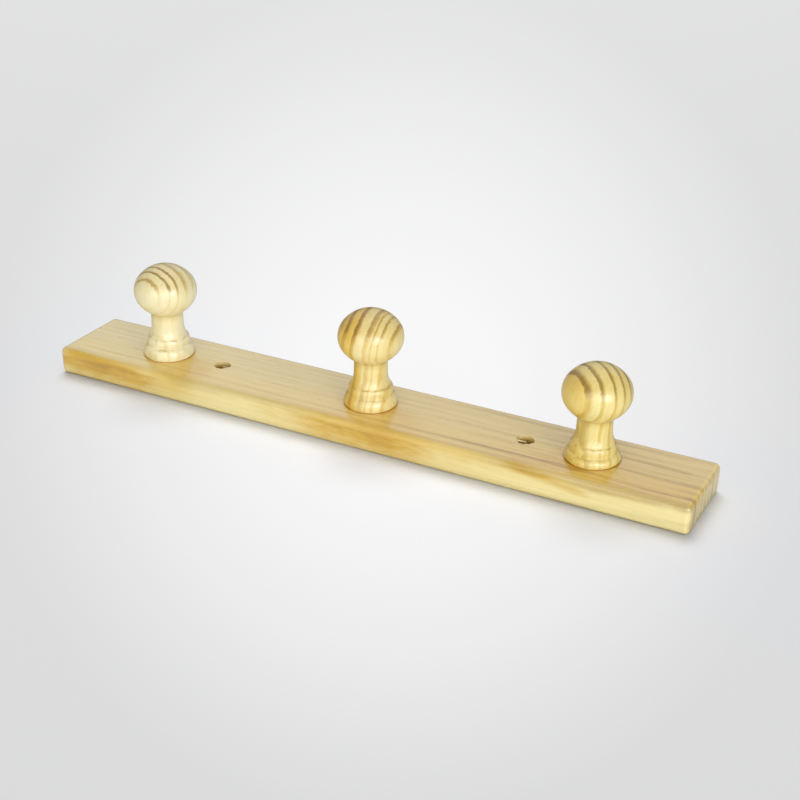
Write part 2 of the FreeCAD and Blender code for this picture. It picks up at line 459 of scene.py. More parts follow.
def shape_sliver(x, root, tip):
    """One torn fibre that tapers down from the wall of a hole."""
    root, tip = (
        Vector((x + end[0] * MM, end[1] * MM, height))
        for end, height in zip((root, tip), SLIVER_HEIGHTS))
    deselect_all()
    bpy.ops.mesh.primitive_cube_add(size=1, location=(root + tip) / 2)
    sliver = bpy.context.object
    run = tip - root
    sliver.scale = (run.length, SLIVER_WIDTH, SLIVER_THICKNESS)
    sliver.rotation_mode = "QUATERNION"
    sliver.rotation_quaternion = run.to_track_quat("X", "Z")
    settle_place()
    for vertex in sliver.data.vertices:
        if (vertex.co - tip).length < run.length / 2:
            vertex.co = tip + (vertex.co - tip) * SLIVER_TIP_SHARE
    return sliver


def shape_board():
    """Planed board with rounded edges and corners, bored for the wall screws and the peg screws."""
    deselect_all()
    bpy.ops.mesh.primitive_cube_add(size=1, location=BOARD_MIDDLE)
    board = bpy.context.object
    board.name = "backboard_pine"
    enter_edit()
    bpy.ops.mesh.select_all(action="SELECT")
    bpy.ops.transform.resize(value=BOARD_SIZE)
    bpy.ops.mesh.bevel(offset=BOARD_EDGE_RADIUS, segments=BOARD_EDGE_STEPS, affect="EDGES")
    leave_edit()
    settle_place()
    for name in PEG_HEIGHTS:
        cut_with(board, peg_screw_hole(middle_of(name)))
    for x, splinters in WALL_SPLINTERS:
        cut_with(board, wall_hole(x, splinters))
    for sliver in WALL_SLIVERS:
        cut_with(board, shape_sliver(*sliver), "UNION")
    close_up(board)
    return board


def smooth(piece, angle):
    make_active(piece)
    bpy.ops.object.shade_smooth_by_angle(angle=math.radians(angle))


def settle(piece, node, material):
    """Give a finished piece its material and its place in the frame."""
    piece.data.materials.clear()
    piece.data.materials.append(material)
    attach(piece, "root")
    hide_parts(node)


# Nodes


def place_node(tree, kind, inputs=None, **settings):
    node = tree.nodes.new(kind)
    for key, value in settings.items():
        setattr(node, key, value)
    for key, value in (inputs or {}).items():
        if isinstance(value, bpy.types.NodeSocket):
            tree.links.new(value, node.inputs[key])
        else:
            node.inputs[key].default_value = value
    return node


def work_out(tree, operation, *values, clamp=False):
    """One step of arithmetic on sockets and numbers."""
    inputs = dict(enumerate(values))
    return place_node(tree, "ShaderNodeMath", inputs, operation=operation, use_clamp=clamp).outputs[0]


def multiply(tree, first, second):
    return work_out(tree, "MULTIPLY", first, second)


def add_share(tree, value, amount, total):
    """Add so much of a value to a total."""
    return work_out(tree, "MULTIPLY_ADD", value, amount, total)


def spread(tree, value, low, high, to_low=0.0, to_high=1.0):
    """Carry a value from one range smoothly over to another."""
    inputs = {0: value, 1: low, 2: high, 3: to_low, 4: to_high}
    return place_node(tree, "ShaderNodeMapRange", inputs, interpolation_type="SMOOTHSTEP").outputs[0]


def fade(tree, value, low, high):
    """Full below the low end of a range, nothing above its high end."""
    return spread(tree, value, low, high, 1.0, 0.0)


def between(tree, share, first, second):
    """From a first value to a second by a share."""
    return spread(tree, share, 0.0, 1.0, first, second)


def blend_colours(tree, share, first, second, kind="MIX"):
    first, second = ((*c, 1.0) if isinstance(c, tuple) else c for c in (first, second))
    node = place_node(
        tree, "ShaderNodeMix", {0: share, 6: first, 7: second}, data_type="RGBA", blend_type=kind)
    return node.outputs[2]


def tint(tree, share, colour, shade):
    return blend_colours(tree, share, colour, shade, "MULTIPLY")


def noise(tree, where, scale, detail, roughness=0.5):
    inputs = {"Vector": where, "Scale": scale, "Detail": detail, "Roughness": roughness}
    return place_node(tree, "ShaderNodeTexNoise", inputs).outputs["Fac"]


def lift(tree, height, strength, distance):
    inputs = {"Height": height, "Strength": strength, "Distance": distance}
    return place_node(tree, "ShaderNodeBump", inputs).outputs[0]


def show(tree, shader):
    place_node(tree, "ShaderNodeOutputMaterial", {"Surface": shader.outputs[0]})


def split_axes(tree, vector):
    return tuple(place_node(tree, "ShaderNodeSeparateXYZ", {"Vector": vector}).outputs)


def object_place(tree):
    return place_node(tree, "ShaderNodeTexCoord").outputs["Object"]


def distance_from(tree, where, place):
    node = place_node(tree, "ShaderNodeVectorMath", {0: where, 1: place}, operation="DISTANCE")
    return node.outputs["Value"]


def start_material(name):
    material = bpy.data.materials.new(name)
    material.use_nodes = True
    tree = material.node_tree
    tree.nodes.clear()
    return material, tree


def fill_ramp(tree, value, stops, interpolation="LINEAR"):
    """Ramp from (place, colour) stops whose places run from 0 to 1."""
    ramp = place_node(tree, "ShaderNodeValToRGB", {"Fac": value})
    ramp.color_ramp.interpolation = interpolation
    elements = ramp.color_ramp.elements
    for i, (place, colour) in enumerate(stops):
        stop = elements[i] if i < 2 else elements.new(place)
        stop.position = place
        stop.color = (*colour, 1) if isinstance(colour, tuple) else (colour, colour, colour, 1)
    return ramp.outputs[0]


# Pine

# How the late wood and the fibres stand proud, and how they dull the lacquer
LATE_LIFT = 0.6
FIBRE_LIFT = 0.7
LIFT_STRENGTH = 0.3
LIFT_HEIGHT = 0.08 * MM
COAT_ROUGHNESS = 0.2
FIBRE_ROUGHNESS = 0.09
FIBRE_RANGE = (-0.2, 0.2)

# A ring's late wood starts, is dark and ends at these shares of its thickness from its place
RING_START_SHARE = -1.5
RING_DARK_SHARE = -0.45
RING_END_SHARE = 0.3
# Share of the ground's darkness that is left after a ring
RING_AFTER_SHARE = 0.6
RAMP_GAP = 0.001


def grain_noise(tree, grain, across, along, shift=0.0, detail=2.0, roughness=0.5):
    """Noise about zero whose patches are so many millimetres across the grain and along it."""
    stretched = place_node(tree, "ShaderNodeMapping", {
        "Vector": grain, "Location": (shift, shift, shift),
        "Scale": (1 / across, 1 / across, 1 / along)}).outputs[0]
    return work_out(tree, "SUBTRACT", noise(tree, stretched, 1.0, detail, roughness), 0.5)


def read_wood(tree, place, turn, patches):
    """Where a point lies on a piece, in metres, and in its grain, in millimetres from a place, turned so
    that across cuts the rings and along follows the fibres. Noises break up the figure."""
    where = object_place(tree)
    grain = place_node(
        tree, "ShaderNodeMapping",
        {"Vector": where, "Location": place, "Rotation": turn, "Scale": (MM, MM, MM)},
        vector_type="TEXTURE").outputs[0]
    axes = split_axes(tree, grain)
    return SimpleNamespace(
        where=where, height=split_axes(tree, where)[2], across=axes[0], along=axes[2],
        noise={name: grain_noise(tree, grain, *patch) for name, patch in patches.items()})


def add_noises(tree, wood, amounts, total):
    """Add so much of each named noise to a total."""
    for name, amount in amounts.items():
        total = add_share(tree, wood.noise[name], amount, total)
    return total


def ring_darkness(tree, depth, rings, reach, fall):
    """Darkness of the wood by its depth across the rings, which are (place, thickness, darkness, ground).
    The fall is how soon a ring ends, in millimetres."""
    share = work_out(tree, "MULTIPLY_ADD", depth, 0.5 / reach, 0.5, clamp=True)
    stops = []
    for place, thickness, darkness, ground in sorted(rings):
        ring_end = RING_END_SHARE * thickness
        for offset, dark in (
                (RING_START_SHARE * thickness, ground), (RING_DARK_SHARE * thickness, darkness),
                (ring_end, darkness), (ring_end + fall, ground * RING_AFTER_SHARE)):
            position = 0.5 + 0.5 * (place + offset) / reach
            if stops and position <= stops[-1][0]:
                position = stops[-1][0] + RAMP_GAP
            stops.append((position, dark))
    return fill_ramp(tree, share, stops)


def finish_pine(tree, wood, late, colour, gloss, coat, density):
    """Clear lacquer over pine whose late wood and fibres stand a hair proud."""
    fibre = wood.noise["fibre"]
    roughness = spread(tree, fibre, *FIBRE_RANGE, gloss, gloss + FIBRE_ROUGHNESS)
    height = add_share(tree, late, LATE_LIFT, multiply(tree, fibre, FIBRE_LIFT))
    bump = lift(tree, height, LIFT_STRENGTH, LIFT_HEIGHT)
    show(tree, place_node(tree, "ShaderNodeBsdfPrincipled", {
        "Base Color": colour, "Roughness": roughness, "Normal": bump, "IOR": density,
        "Coat Weight": coat, "Coat Roughness": COAT_ROUGHNESS, "Coat IOR": density}))


# Peg pine

# Noises in the grain: patch across it and along it in millimetres, shift, detail and roughness
PEG_NOISE = {
    "sway": (20.0, 60.0), "wander": (2.6, 12.0, 7.0), "ripple": (0.7, 3.0, 13.0),
    "fibre": (0.5, 22.0, 3.0, 3.0, 0.6), "streak": (2.4, 50.0, 11.0), "fleck": (0.6, 3.2, 17.0, 1.0),
    "mottle": (3.2, 7.0, 37.0, 3.0), "shade_patch": (5.0, 3.4, 41.0),
}
# How far the noises make the rings wander, how deep rings lie, and how soon one ends, in millimetres
PEG_RING_WAVER = {"sway": 2.0, "wander": 1.2, "ripple": 1.3}
PEG_RING_REACH = 24.0
PEG_RING_FALL = 0.4

# Stretches of the peg, in millimetres up from the middle of its ball
BOW_SPAN = (-14.0, 16.0)
CROWN_SPAN = (-2.0, 11.0)
LOWER_SPAN = (-13.0, -24.0)
MOTTLE_SPAN = (-15.0, -26.0)
FOOT_SPAN = (-24.0, -28.0)
CREEP_SPAN = (-20.0, -5.0)

# How much each feature darkens the wood
CROWN_DARKNESS = 0.13
PEG_GRAIN_DARKNESS = {"fibre": 0.22, "streak": 0.30}
MOTTLE_DARKNESS = 0.14
MOTTLE_RANGE = (0.0, 0.2)
MARK_RANGE = (0.16, 0.26)
MARK_DARKNESS = (0.12, 0.4)
FOOT_FIGURE = 0.26

# Places of the tones by darkness, colours of heartwood and of the painted shade in the creases and under
# the ball, and that shade's reach
PEG_TONE_PLACES = (0.0, 0.40, 1.0)
HEART_AMBER = (0.97, 0.80, 0.26)
CREASE_SHADE_BROWN = (0.74, 0.66, 0.38)
CREASE_SHADE_RANGE = (-0.04, 0.2)
UNDER_BEAD_SHADE = 1.5 * MM
OVER_BEAD_SHADE = 1.2 * MM
UNDER_BALL_SHADE = 5.0 * MM
ON_BALL_SHADE = (1.2 * MM, 0.2 * MM)
UNDER_BALL_SHARE = 0.6

PEG_ROUGHNESS = 0.38
PEG_COAT = 0.3
PEG_LACQUER_IOR = 1.8

# Each peg's wood: azimuth and tilt of the grain in degrees, bow and places of the rings in millimetres,
# tones from pale to dark, the amber heart's start, full depth, strength and creep below, how much darker
# the lower peg is, and how much of the rings shows there
PEG_FIGURES = {
    "left_peg": {
        "azimuth": -98.7, "tilt": 4.7, "bow": 0.9,
        "rings": (
            (15.6, 0.8, 0.62, 0.05), (11.2, 0.7, 0.92, 0.08), (7.2, 0.9, 0.88, 0.08),
            (1.8, 1.9, 0.5, 0.10), (-5.0, 2.2, 0.24, 0.04), (-11.5, 1.0, 0.5, 0.1),
            (-16.0, 1.0, 0.5, 0.1)),
        "tones": ((0.88, 0.81, 0.52), (0.70, 0.55, 0.21), (0.31, 0.20, 0.05)),
        "heart": (-4.0, 3.0, 0.16, 0.0), "below": -0.04, "faded": 0.15},
    "middle_peg": {
        "azimuth": -173.4, "tilt": 5.3, "bow": 0.8,
        "rings": (
            (15.5, 1.5, 0.6, 0.12), (10.6, 1.6, 0.86, 0.12), (4.5, 1.6, 0.92, 0.10),
            (-3.1, 1.8, 0.70, 0.10), (-6.5, 0.6, 0.66, 0.08), (-10.0, 0.8, 0.68, 0.08),
            (-14.8, 1.0, 0.66, 0.08)),
        "tones": ((0.84, 0.71, 0.32), (0.69, 0.485, 0.12), (0.34, 0.20, 0.025)),
        "heart": (1.6, 4.6, 0.9, 3.6), "below": 0.06, "faded": 0.42},
    "right_peg": {
        "azimuth": -129.1, "tilt": 5.3, "bow": 0.0,
        "rings": (
            (13.4, 1.7, 0.86, 0.16), (7.3, 1.3, 0.86, 0.14), (0.6, 1.2, 0.78, 0.10),
            (-5.3, 1.1, 0.74, 0.08), (-10.7, 1.1, 0.8, 0.14), (-14.5, 1.0, 0.7, 0.12)),
        "tones": ((0.83, 0.70, 0.29), (0.66, 0.49, 0.11), (0.31, 0.185, 0.02)),
        # The right peg's heart creeps far down its foot, where it is partly painted shade on the foot's
        # front-left as well as amber heartwood
        "heart": (11.0, 14.0, 0.65, 4.5), "below": 0.06, "faded": 0.48},
}


def ball_centre(name):
    return Vector((middle_of(name), 0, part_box(name)[1].z - BALL_RADIUS + BALL_FLATTENING))


def painted_crease_shade(tree, wood, name):
    """Painted shade, broken into patches, in the creases over and under the bead, and under the ball."""
    bead_base, neck_base, ball_base = peg_levels(name)
    creases = 0.0
    for crease, reach in ((bead_base, UNDER_BEAD_SHADE), (neck_base, OVER_BEAD_SHADE)):
        away = work_out(tree, "ABSOLUTE", work_out(tree, "SUBTRACT", wood.height, crease))
        creases = work_out(tree, "MAXIMUM", creases, fade(tree, away, 0.0, reach))
    patchy_shade = multiply(tree, creases, spread(tree, wood.noise["shade_patch"], *CREASE_SHADE_RANGE))
    under_ball = multiply(
        tree, spread(tree, wood.height, ball_base - UNDER_BALL_SHADE, ball_base),
        spread(tree, wood.height, *(ball_base + reach for reach in ON_BALL_SHADE)))
    return add_share(tree, under_ball, UNDER_BALL_SHARE, patchy_shade)


def peg_darkness(tree, wood, late, below, faded):
    """How dark the turned wood is: its rings, which fade below the crown, its fibres, mottle and marks."""
    crown = spread(tree, wood.along, *CROWN_SPAN)
    foot = spread(tree, wood.along, *FOOT_SPAN)
    shown = work_out(
        tree, "MAXIMUM", between(tree, crown, faded, 1.0), between(tree, foot, 0.0, FOOT_FIGURE))
    mottle = multiply(
        tree, spread(tree, wood.noise["mottle"], *MOTTLE_RANGE), spread(tree, wood.along, *MOTTLE_SPAN))
    marks = multiply(
        tree, spread(tree, wood.noise["fleck"], *MARK_RANGE), between(tree, foot, *MARK_DARKNESS))
    dark = add_share(tree, crown, CROWN_DARKNESS, multiply(tree, late, shown))
    dark = add_share(tree, spread(tree, wood.along, *LOWER_SPAN), below, dark)
    dark = add_noises(tree, wood, PEG_GRAIN_DARKNESS, dark)
    dark = add_share(tree, mottle, MOTTLE_DARKNESS, dark)
    return work_out(tree, "ADD", dark, marks, clamp=True)


def peg_pine(name, azimuth, tilt, bow, rings, tones, heart, below, faded):
    """Turned pine: rings nearly upright in the peg, dark where the ball's crown cuts across the fibres."""
    material, tree = start_material(name + "_pine")
    turn = (0, -math.radians(tilt), math.radians(azimuth))
    wood = read_wood(tree, ball_centre(name), turn, PEG_NOISE)
    depth = add_share(tree, spread(tree, wood.along, *BOW_SPAN, 1.0, -1.0), -bow, wood.across)
    depth = add_noises(tree, wood, PEG_RING_WAVER, depth)
    late = ring_darkness(tree, depth, rings, PEG_RING_REACH, PEG_RING_FALL)
    dark = peg_darkness(tree, wood, late, below, faded)
    colour = fill_ramp(tree, dark, zip(PEG_TONE_PLACES, tones))
    start, full, strength, creep = heart
    reach = work_out(tree, "ADD", depth, spread(tree, wood.along, *CREEP_SPAN, creep, 0.0))
    colour = tint(tree, spread(tree, reach, start, full, 0.0, strength), colour, HEART_AMBER)
    # Painted shade in the creases and under the ball
    colour = tint(tree, painted_crease_shade(tree, wood, name), colour, CREASE_SHADE_BROWN)
    finish_pine(tree, wood, late, colour, PEG_ROUGHNESS, PEG_COAT, PEG_LACQUER_IOR)
    return material


# Board pine

# Noises in the grain, given as those of the pegs are
BOARD_NOISE = {
    "sway": (24.0, 170.0), "wander": (3.0, 30.0, 7.0), "ripple": (0.8, 9.0, 13.0),
    "fibre": (0.55, 40.0, 3.0, 3.0, 0.6), "streak": (2.0, 120.0, 11.0), "fleck": (0.6, 6.0, 17.0, 1.0),
    "cloud": (6.0, 26.0, 23.0, 3.0), "blotch": (2.6, 7.0, 43.0, 3.0, 0.6), "patch": (5.0, 80.0, 29.0),
}
BOARD_GRAIN_TURN = (math.radians(90), math.radians(8), math.radians(90))
BOARD_RING_WAVER = {"sway": 2.2, "wander": 3.0, "ripple": 1.6}
BOARD_RING_REACH = 32.0
BOARD_RING_FALL = 1.3
BOARD_RINGS = (
    (-22.6, 2.0, 0.32, 0.08), (-17.2, 2.2, 1.00, 0.10), (-11.2, 2.4, 0.30, 0.06), (-5.0, 2.0, 0.38, 0.08),
    (1.6, 2.4, 0.36, 0.08), (7.6, 2.0, 0.34, 0.08), (14.2, 2.4, 0.38, 0.08), (21.0, 2.2, 0.34, 0.08))

# Stretches across the board in millimetres from its middle, with the back positive. The last one
# also says how much lacquer lies at its two sides
FRONT_SPAN = (-25.8, -19.5)
ARRIS_SPAN = (-26.0, -23.0)
FORE_SPAN = (6.0, -16.0)
LACQUER_SPAN = (-27.0, -24.6, 0.12, 1.0)

# Stretches at each end of the board, in millimetres in from the end
HALF_LENGTH = BOARD_SIZE.x / 2 / MM
END_SPAN = (1.8, 0.2)
END_LINE_SPAN = (2.5, 1.2)
END_ARRIS_IN = (2.5, 1.4)
END_ARRIS_OUT = (0.0, 0.4)

# The face starts at these heights, and clouds in the wood move its edge up and down
FACE_HEIGHTS = (11.4 * MM, 15.2 * MM)
FACE_WOBBLE = 7.0 * MM

# Places along the front edge in millimetres from the board's middle, and how amber the wood is there
FRONT_AMBER = (
    (-200, 0.78), (-170, 0.95), (-142, 0.80), (-118, 0.14), (-70, 0.06), (-42, 0.28), (-12, 0.80),
    (18, 0.92), (38, 0.78), (64, 0.26), (104, 0.14), (150, 0.04), (200, 0.0))
AMBER_CLOUDS = {"cloud": 1.5, "blotch": 0.9}
AMBER_RISE = (1.0 * MM, 12.0 * MM, 0.68, 1.22)
FACE_AMBER_SHARE = 0.26
FACE_AMBER = 0.1
# Knot stains on the front edge: start, length and fall in millimetres, and strength
AMBER_BLOTS = ((104.0, 46.0, 6.0, 0.54), (-190.0, 52.0, 2.5, 0.45))
BLOT_DEPTH = 2.2 * MM
BLOT_REACH = 4.2 * MM
BLOT_START = (-12.0, 4.0)
BLOT_FADE = 12.0

# Places along the front edge again, and how much painted shade dulls its upper arris to a tan there
ARRIS_SHADE_PLACES = (
    (-200, 0.0), (-130, 0.0), (-108, 0.6), (-44, 0.5), (-10, 0.0), (70, 0.0), (104, 0.7), (200, 1.0))

# How much each feature darkens the wood
AMBER_DARKNESS = 0.52
END_DARKNESS = 0.03
FACE_DARKNESS = (0.15, 0.14)
# Painted sheen and shade: the face lighter towards the left end and darker towards the right
RIGHTWARD_SHEEN_AND_SHADE = (-190.0, 190.0, -0.08, 0.10)
BOARD_GRAIN_DARKNESS = {"fibre": 0.16, "streak": 0.16}
# Painted shade round each foot's seat: its darkness, and how far it reaches
SEAT_DARKNESS = 0.45
SEAT_REACH = 1.1 * MM

# Ring lines on the face: their patches, and how they gain strength towards the right end
LINE_PATCHES = (-0.16, 0.16, 0.08, 0.8)
LINE_GAIN = (10.0, 150.0, 0.4, 2.0)
END_LINES = 0.75
FLECK_RANGE = (0.15, 0.27)
FLECK_STROKES = 0.45
FIBRE_STROKE_RANGE = (0.02, 0.22)
FIBRE_STROKES = 0.24
FRONT_STROKES = 0.3

# Colours by darkness, and tints laid over them
BOARD_TONES = ((0.0, (0.83, 0.715, 0.33)), (0.45, (0.63, 0.395, 0.045)), (1.0, (0.42, 0.21, 0.025)))
LINE_BROWN = (0.495, 0.36, 0.05)
END_LINE_BROWN = (0.60, 0.52, 0.30)
PLANED_TINT = (1.05, 1.025, 1.0)
ARRIS_SHADE_TINT = (0.77, 0.79, 0.92)
END_ARRIS_TINT = (1.06, 1.15, 1.55)
# The face's front half: two tints that cross over along the board
FORE_TINTS = (((150.0, 60.0), (1.06, 1.015, 0.85)), ((60.0, 150.0), (1.05, 0.975, 0.64)))

# Painted reflection and shade of each peg, an amber glow on the face beside its foot: millimetres along and
# across from the peg, inner and outer reach in millimetres, and strength
PEG_REFLECTION_AMBER = (0.90, 0.76, 0.34)
PAINTED_PEG_REFLECTIONS = (
    ("left_peg", 21.0, -15.0, 8.0, 25.0, 1.0), ("left_peg", 13.0, -5.0, 4.0, 11.0, 0.8),
    ("middle_peg", 21.0, -15.0, 8.0, 25.0, 0.5), ("middle_peg", 13.0, -4.0, 4.0, 10.0, 0.5),
    ("right_peg", -5.0, -13.0, 3.0, 10.0, 0.5))

# Wall-screw holes: painted shade, brown deep down, and pale torn bare wood on the upper wall, which is
# partly painted light
HOLE_SHADE_BROWN = (0.52, 0.38, 0.14)
HOLE_SHADE_REACH = (6.5 * MM, 7.0 * MM)
HOLE_SHADE_HEIGHTS = (BOARD_FACE - 1.0 * MM, BOARD_FACE - 4.2 * MM)
TORN_WOOD_AND_LIGHT = (0.82, 0.66, 0.33)
TORN_AND_LIT_REACH = (5.15 * MM, 4.8 * MM)
TORN_AND_LIT_HEIGHTS = (BOARD_FACE - 2.4 * MM, BOARD_FACE - 1.2 * MM)

BOARD_ROUGHNESS = 0.36
BOARD_LACQUER_IOR = 1.66


def foot_seat(name):
    return Vector((middle_of(name), 0, BOARD_FACE))


def seat_shade(tree, where):
    """Painted shade in the crease where each foot meets the board."""
    nearest = 1.0
    for name in PEG_HEIGHTS:
        nearest = work_out(tree, "MINIMUM", nearest, distance_from(tree, where, foot_seat(name)))
    return fade(tree, nearest, FOOT_SEAT_RADIUS, FOOT_SEAT_RADIUS + SEAT_REACH)


def painted_peg_reflections(tree, where):
    """Share of the painted amber reflection and shade of the pegs on the board's face."""
    total = 0.0
    for name, along, across, near, far, strength in PAINTED_PEG_REFLECTIONS:
        away = distance_from(tree, where, foot_seat(name) + Vector((along, across, 0)) * MM)
        share = spread(tree, away, near * MM, far * MM, strength, 0.0)
        total = work_out(tree, "ADD", total, share, clamp=True)
    return total


def shade_and_light_holes(tree, where, colour):
    """Colour the wall-screw holes, which lie alike on either side of the board's middle: painted shade deep
    down, and on the upper wall pale torn wood that is partly painted light.
    """
    x, y, z = split_axes(tree, where)
    across = work_out(tree, "SUBTRACT", work_out(tree, "ABSOLUTE", x), WALL_HOLE_PLACE)
    flat = place_node(tree, "ShaderNodeCombineXYZ", {0: across, 1: y}).outputs[0]
    away = place_node(tree, "ShaderNodeVectorMath", {0: flat}, operation="LENGTH").outputs["Value"]
    deep = multiply(tree, fade(tree, away, *HOLE_SHADE_REACH), spread(tree, z, *HOLE_SHADE_HEIGHTS))
    torn = multiply(tree, spread(tree, away, *TORN_AND_LIT_REACH), spread(tree, z, *TORN_AND_LIT_HEIGHTS))
    return blend_colours(tree, torn, tint(tree, deep, colour, HOLE_SHADE_BROWN), TORN_WOOD_AND_LIGHT)


def along_board(tree, wood, places):
    """A share that changes gently along the board, from (place, share) pairs in millimetres."""
    reach = work_out(tree, "MULTIPLY_ADD", wood.along, 0.5 / HALF_LENGTH, 0.5, clamp=True)
    stops = [(0.5 + 0.5 * place / HALF_LENGTH, share) for place, share in places]
    return fill_ramp(tree, reach, stops, interpolation="EASE")


def board_zones(tree, wood):
    """Shares that pick out the board's face, its front edge, its rounded arrises and its ends."""
    inward = work_out(tree, "SUBTRACT", HALF_LENGTH, work_out(tree, "ABSOLUTE", wood.along))
    upper = spread(tree, add_share(tree, wood.noise["cloud"], FACE_WOBBLE, wood.height), *FACE_HEIGHTS)
    arris = fade(tree, wood.across, *ARRIS_SPAN)
    end_arris = multiply(tree, spread(tree, inward, *END_ARRIS_IN), spread(tree, inward, *END_ARRIS_OUT))
    return SimpleNamespace(
        upper=upper, arris=arris, face=multiply(tree, upper, between(tree, arris, 1.0, 0.0)),
        front=fade(tree, wood.across, *FRONT_SPAN), ends=spread(tree, inward, *END_SPAN),
        end_lines=spread(tree, inward, *END_LINE_SPAN), end_arris=multiply(tree, end_arris, upper))


def amber_blot(tree, wood, place, length, fall):
    """A knot's stain that slants down along the front edge from a place."""
    run = work_out(tree, "SUBTRACT", wood.along, place)
    line = work_out(tree, "MULTIPLY_ADD", run, -fall / length * MM, BOARD_FACE - BLOT_DEPTH)
    away = work_out(tree, "ABSOLUTE", work_out(tree, "SUBTRACT", wood.height, line))
    ends = multiply(tree, spread(tree, run, *BLOT_START), spread(tree, run, length, length - BLOT_FADE))
    return multiply(tree, ends, fade(tree, away, 0.0, BLOT_REACH))


def front_amber(tree, wood, zones):
    """Amber wood along the front edge, blotchy, deeper towards the face and stained at its knots."""
    cloudy = add_noises(tree, wood, AMBER_CLOUDS, 1.0)
    amber = multiply(tree, along_board(tree, wood, FRONT_AMBER), cloudy)
    amber = multiply(tree, amber, spread(tree, wood.height, *AMBER_RISE))
    amber = multiply(tree, amber, between(tree, zones.upper, 1.0, FACE_AMBER_SHARE))
    for place, length, fall, strength in AMBER_BLOTS:
        amber = add_share(tree, amber_blot(tree, wood, place, length, fall), strength, amber)
    return multiply(tree, add_share(tree, zones.upper, FACE_AMBER, amber), zones.front)


def board_darkness(tree, wood, zones):
    """How dark the planed wood is, apart from its ring lines, with painted shade round the feet and painted
    sheen and shade along the face.
    """
    dark = multiply(tree, front_amber(tree, wood, zones), AMBER_DARKNESS)
    dark = add_share(tree, zones.ends, END_DARKNESS, dark)
    # Painted sheen and shade along the face, lighter at the left end and darker at the right
    rightward = spread(tree, wood.along, *RIGHTWARD_SHEEN_AND_SHADE)
    for amount in (between(tree, zones.front, *FACE_DARKNESS), rightward):
        dark = add_share(tree, zones.upper, amount, dark)
    dark = add_noises(tree, wood, BOARD_GRAIN_DARKNESS, dark)
    # Painted shade round the feet
    return add_share(tree, seat_shade(tree, wood.where), SEAT_DARKNESS, dark)


def draw_lines(tree, wood, zones, late, colour):
    """Ring lines, stronger in patches, towards the right and on the ends, and fine strokes between them."""
    patchy = spread(tree, wood.noise["patch"], *LINE_PATCHES)
    patchy = multiply(tree, patchy, spread(tree, wood.along, *LINE_GAIN))
    lines = multiply(tree, late, add_share(tree, zones.ends, END_LINES, patchy))
    fine = multiply(tree, spread(tree, wood.noise["fibre"], *FIBRE_STROKE_RANGE), FIBRE_STROKES)
    strokes = add_share(tree, spread(tree, wood.noise["fleck"], *FLECK_RANGE), FLECK_STROKES, fine)
    lines = add_share(tree, strokes, between(tree, zones.front, 1.0, FRONT_STROKES), lines)
    brown = blend_colours(tree, zones.end_lines, LINE_BROWN, END_LINE_BROWN)
    return tint(tree, work_out(tree, "MINIMUM", lines, 1.0), colour, brown)


def tone_face(tree, wood, zones, colour):
    """Tints of the planed face, of its front half and of its rounded arrises, where the upper arris's tint
    is painted shade.
    """
    colour = tint(tree, work_out(tree, "MAXIMUM", zones.face, zones.ends), colour, PLANED_TINT)
    fore = multiply(tree, spread(tree, wood.across, *FORE_SPAN), zones.face)
    for span, shade in FORE_TINTS:
        colour = tint(tree, multiply(tree, fore, spread(tree, wood.along, *span)), colour, shade)
    # Painted shade on the upper arris
    tan = multiply(tree, along_board(tree, wood, ARRIS_SHADE_PLACES), zones.arris)
    colour = tint(tree, multiply(tree, zones.upper, tan), colour, ARRIS_SHADE_TINT)
    return tint(tree, zones.end_arris, colour, END_ARRIS_TINT)


def board_pine():
    """Planed pine: the grain runs along the board, and the rings stand nearly upright across it."""
    material, tree = start_material("board_pine")
    wood = read_wood(tree, (0, 0, BOARD_FACE), BOARD_GRAIN_TURN, BOARD_NOISE)
    zones = board_zones(tree, wood)
    depth = add_noises(tree, wood, BOARD_RING_WAVER, wood.across)
    late = ring_darkness(tree, depth, BOARD_RINGS, BOARD_RING_REACH, BOARD_RING_FALL)
    colour = fill_ramp(tree, board_darkness(tree, wood, zones), BOARD_TONES)
    colour = draw_lines(tree, wood, zones, late, colour)
    colour = tone_face(tree, wood, zones, colour)
    # Painted amber reflection and shade of the pegs beside their feet
    colour = tint(tree, painted_peg_reflections(tree, wood.where), colour, PEG_REFLECTION_AMBER)
    # Painted shade and light in the wall-screw holes
    colour = shade_and_light_holes(tree, wood.where, colour)
    lacquer = spread(tree, wood.across, *LACQUER_SPAN)
    finish_pine(tree, wood, late, colour, BOARD_ROUGHNESS, lacquer, BOARD_LACQUER_IOR)
    return material


# Screw steel

# Scale and detail of clouds and grit, and the colours and roughness that the clouds run through
STEEL_CLOUDS = (900.0, 3.0)
STEEL_GRIT = (5200.0, 2.0)
STEEL_TONES = ((0.3, (0.50, 0.47, 0.40)), (0.7, (0.72, 0.70, 0.64)))
STEEL_ROUGHNESS = (0.3, 0.7, 0.24, 0.42)
STEEL_GRIT_STRENGTH = 0.2
STEEL_GRIT_HEIGHT = 0.02 * MM


def screw_steel():
    """Dull zinc-grey steel, cloudy and slightly gritty."""
    material, tree = start_material("screw_steel")
    where = object_place(tree)
    cloud = noise(tree, where, *STEEL_CLOUDS)
    grit = noise(tree, where, *STEEL_GRIT)
    show(tree, place_node(tree, "ShaderNodeBsdfPrincipled", {
        "Base Color": fill_ramp(tree, cloud, STEEL_TONES), "Metallic": 1.0,
        "Roughness": spread(tree, cloud, *STEEL_ROUGHNESS),
        "Normal": lift(tree, grit, STEEL_GRIT_STRENGTH, STEEL_GRIT_HEIGHT)}))
    return material


# Stage

TABLE_SIZE = 12.0
